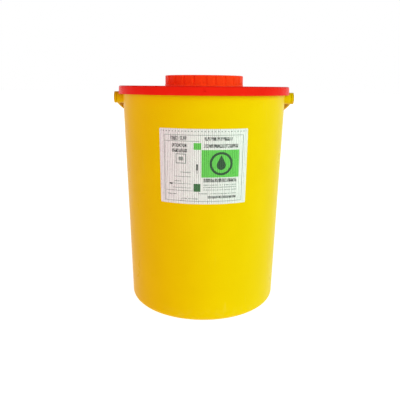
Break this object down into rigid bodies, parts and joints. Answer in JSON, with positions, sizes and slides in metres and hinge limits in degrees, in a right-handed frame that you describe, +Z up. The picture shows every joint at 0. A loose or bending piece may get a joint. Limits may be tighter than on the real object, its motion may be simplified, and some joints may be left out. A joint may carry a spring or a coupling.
{
  "type": "sharps container",
  "caption": "Round tapered waste container for used sharps, with a press-fit lid, a ribbed screw cap on a wide neck, needle notches and a swinging strap handle.",
  "frame": {"origin": "centre of the underside, on the surface it stands on", "axes": "+Z up along the axis, -Y to the front with the label, the handle's pivots on X"},
  "size_m": [0.2666, 0.2512, 0.3324],
  "materials": {
    "bucket_yellow": "moulded polypropylene, glossy",
    "lid_red": "moulded polypropylene, glossy",
    "cap_red": "moulded polypropylene, satin gloss",
    "remover_white": "moulded polypropylene, satin",
    "seal_rubber": "soft matt rubber",
    "liner_foam": "closed-cell foam",
    "label_film": "printed plastic film"
  },
  "bodies": {
    "container": {"bucket": "bucket_yellow", "lid": "lid_red", "lid_seal": "seal_rubber", "needle_remover": "remover_white", "handle_pin_left": "bucket_yellow", "handle_pin_right": "bucket_yellow", "front_label": "label_film"},
    "handle": {"carry_handle": "bucket_yellow"},
    "liner": {"cap_liner": "liner_foam"},
    "cap": {"cap": "cap_red"}
  },
  "joints": [
    {"name": "handle_swing", "type": "hinge", "parent": "container", "child": "handle", "pos_m": [0, 0, 0.3001], "axis": [1, 0, 0], "range_deg": [0, 224.4]},
    {"name": "cap_rise", "type": "slide", "parent": "container", "child": "liner", "axis": [0, 0, 1], "range_m": [0, 0.016]},
    {"name": "cap_turn", "type": "hinge", "parent": "liner", "child": "cap", "pos_m": [0, 0, 0], "axis": [0, 0, 1], "range_deg": [0, 261]}
  ],
  "couplings": [
    {"joint": "cap_rise", "follows": "cap_turn", "m_per_rad": 0.0035014}
  ]
}
